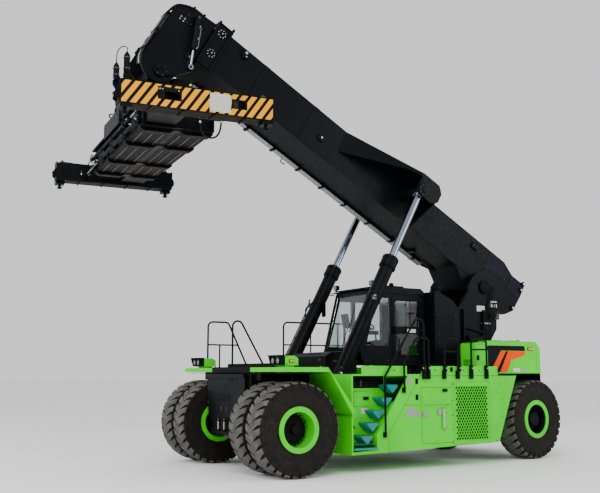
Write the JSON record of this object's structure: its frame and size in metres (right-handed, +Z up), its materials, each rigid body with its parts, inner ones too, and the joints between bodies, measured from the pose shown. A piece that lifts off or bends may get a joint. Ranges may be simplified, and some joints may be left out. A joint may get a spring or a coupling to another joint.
{
  "type": "container reach stacker",
  "caption": "Wheeled container handler with a luffing telescopic boom, a turning and stretching spreader, cab, steered rear axle and twin front wheels.",
  "frame": {"origin": "on the ground, under the middle of the overall box", "axes": "+X forward, +Y to the machine left, +Z up"},
  "size_m": [10.7, 6.3002, 8.5177],
  "materials": {
    "green_paint": "semi-gloss",
    "black_paint": "semi-gloss",
    "grey_iron": "matt",
    "tyre": "matt",
    "glass": "clear",
    "chrome": "polished",
    "teal_paint": "semi-gloss",
    "seat": "woven",
    "console": "matt",
    "hose": "matt"
  },
  "bodies": {
    "chassis": {"frame": "black_paint", "drive_axle": "grey_iron", "steer_axle": "grey_iron", "side_body_left": "green_paint", "side_body_right": "green_paint", "front_fenders": "green_paint", "deck": "green_paint", "handrails": "black_paint", "stair_treads": "teal_paint", "headlights": "black_paint", "counterweight": "grey_iron", "hood": "green_paint", "power_unit": "grey_iron", "cabinet": "black_paint", "cab_frame": "black_paint", "cab_glass": "glass", "operator_seat": "seat", "control_console": "console"},
    "cab_door": {"cab_door": "black_paint", "cab_door_glass": "glass"},
    "service_door": {"service_door": "green_paint"},
    "locker_door": {"locker_door": "green_paint"},
    "front_wheels_left": {"front_left_tyres": "tyre", "front_left_rims": "green_paint", "front_left_hub": "grey_iron"},
    "front_wheels_right": {"front_right_tyres": "tyre", "front_right_rims": "green_paint", "front_right_hub": "grey_iron"},
    "knuckle_left": {"steer_knuckle_left": "grey_iron"},
    "knuckle_right": {"steer_knuckle_right": "grey_iron"},
    "rear_wheel_left": {"rear_left_tyre": "tyre", "rear_left_rim": "green_paint"},
    "rear_wheel_right": {"rear_right_tyre": "tyre", "rear_right_rim": "green_paint"},
    "outer_boom": {"outer_boom": "black_paint", "boom_shoulders": "black_paint"},
    "inner_boom": {"inner_boom": "black_paint"},
    "lift_barrel_left": {"lift_barrel_left": "black_paint"},
    "lift_barrel_right": {"lift_barrel_right": "black_paint"},
    "lift_rod_left": {"lift_rod_left": "chrome"},
    "lift_rod_right": {"lift_rod_right": "chrome"},
    "hanger": {"spreader_hanger": "black_paint"},
    "damper_barrels": {"damper_barrels": "black_paint"},
    "damper_rods": {"damper_rods": "chrome"},
    "rotator": {"rotator": "black_paint"},
    "spreader": {"spreader_frame": "black_paint", "loop_hose": "hose"},
    "beam_left": {"spreader_beam_left": "black_paint", "twistlocks_left": "black_paint"},
    "beam_right": {"spreader_beam_right": "black_paint", "twistlocks_right": "black_paint"}
  },
  "joints": [
    {"name": "front_left_wheels_roll", "type": "hinge", "parent": "chassis", "child": "front_wheels_left", "pos_m": [1.8, 1.5, 0.805], "axis": [0, 1, 0], "continuous": true},
    {"name": "front_right_wheels_roll", "type": "hinge", "parent": "chassis", "child": "front_wheels_right", "pos_m": [1.8, -1.5, 0.805], "axis": [0, 1, 0], "continuous": true},
    {"name": "steer_left", "type": "hinge", "parent": "chassis", "child": "knuckle_left", "pos_m": [-4.2, 1.2, 0.805], "axis": [0, 0, 1], "range_deg": [-56.7, 43.3]},
    {"name": "steer_right", "type": "hinge", "parent": "chassis", "child": "knuckle_right", "pos_m": [-4.2, -1.2, 0.805], "axis": [0, 0, 1], "range_deg": [-56.7, 43.3]},
    {"name": "rear_left_wheel_roll", "type": "hinge", "parent": "knuckle_left", "child": "rear_wheel_left", "pos_m": [-4.2, 1.2, 0.805], "axis": [-0.1167, 0.9932, 0], "continuous": true},
    {"name": "rear_right_wheel_roll", "type": "hinge", "parent": "knuckle_right", "child": "rear_wheel_right", "pos_m": [-4.2, -1.2, 0.805], "axis": [-0.1167, 0.9932, 0], "continuous": true},
    {"name": "boom_lift", "type": "hinge", "parent": "chassis", "child": "outer_boom", "pos_m": [-3.73, 0, 3.6], "axis": [0, 1, 0], "range_deg": [-30.5, 29.5]},
    {"name": "lift_barrel_left_swing", "type": "hinge", "parent": "chassis", "child": "lift_barrel_left", "pos_m": [0.5, 1.02, 1.3], "axis": [0, 1, 0], "range_deg": [-5, 5]},
    {"name": "lift_barrel_right_swing", "type": "hinge", "parent": "chassis", "child": "lift_barrel_right", "pos_m": [0.5, -1.02, 1.3], "axis": [0, 1, 0], "range_deg": [-5, 5]},
    {"name": "lift_rod_left_slide", "type": "slide", "parent": "lift_barrel_left", "child": "lift_rod_left", "axis": [-0.4718, 0, 0.8817], "range_m": [-1.43, 1.48]},
    {"name": "lift_rod_right_slide", "type": "slide", "parent": "lift_barrel_right", "child": "lift_rod_right", "axis": [-0.4718, 0, 0.8817], "range_m": [-1.43, 1.48]},
    {"name": "boom_extend", "type": "slide", "parent": "outer_boom", "child": "inner_boom", "axis": [0.8704, 0, 0.4924], "range_m": [0, 6.5]},
    {"name": "hanger_level", "type": "hinge", "parent": "inner_boom", "child": "hanger", "pos_m": [3.7903, 0, 7.19988], "axis": [0, 1, 0], "range_deg": [-29.6, 30.6]},
    {"name": "damper_barrel_swing", "type": "hinge", "parent": "inner_boom", "child": "damper_barrels", "pos_m": [3.09978, 0, 8.30054], "axis": [0, 1, 0], "range_deg": [-7, 7]},
    {"name": "damper_rod_slide", "type": "slide", "parent": "damper_barrels", "child": "damper_rods", "axis": [0.1433, 0, -0.9897], "range_m": [-0.253, 0.253]},
    {"name": "spreader_turn", "type": "hinge", "parent": "hanger", "child": "rotator", "pos_m": [3.7903, 0, 6.73988], "axis": [0, 0, -1], "range_deg": [-191.6, 88.4]},
    {"name": "side_shift", "type": "slide", "parent": "rotator", "child": "spreader", "axis": [0.1149, 0.9934, 0], "range_m": [-0.8, 0.8]},
    {"name": "beam_left_extend", "type": "slide", "parent": "spreader", "child": "beam_left", "axis": [0.1149, 0.9934, 0], "range_m": [0, 3.048]},
    {"name": "beam_right_extend", "type": "slide", "parent": "spreader", "child": "beam_right", "axis": [-0.1149, -0.9934, 0], "range_m": [0, 3.048]},
    {"name": "cab_door_hinge", "type": "hinge", "parent": "chassis", "child": "cab_door", "pos_m": [-1.962, 0.7043, 2.6], "axis": [0, 0, 1], "range_deg": [0, 100]},
    {"name": "service_door_hinge", "type": "hinge", "parent": "chassis", "child": "service_door", "pos_m": [-0.864, 2.0123, 1], "axis": [0, 0, -1], "range_deg": [0, 110]},
    {"name": "locker_door_hinge", "type": "hinge", "parent": "chassis", "child": "locker_door", "pos_m": [0.446, 1.7123, 1.3], "axis": [0, 0, -1], "range_deg": [0, 90]}
  ],
  "couplings": [
    {"joint": "steer_right", "follows": "steer_left", "ratio": 1},
    {"joint": "lift_barrel_left_swing", "follows": "boom_lift", "ratio": 0.16},
    {"joint": "lift_barrel_right_swing", "follows": "boom_lift", "ratio": 0.16},
    {"joint": "lift_rod_left_slide", "follows": "boom_lift", "m_per_rad": -2.775},
    {"joint": "lift_rod_right_slide", "follows": "boom_lift", "m_per_rad": -2.775},
    {"joint": "hanger_level", "follows": "boom_lift", "ratio": -1},
    {"joint": "damper_barrel_swing", "follows": "boom_lift", "ratio": 0.195},
    {"joint": "damper_rod_slide", "follows": "boom_lift", "m_per_rad": 0.465},
    {"joint": "beam_right_extend", "follows": "beam_left_extend", "ratio": 1}
  ]
}
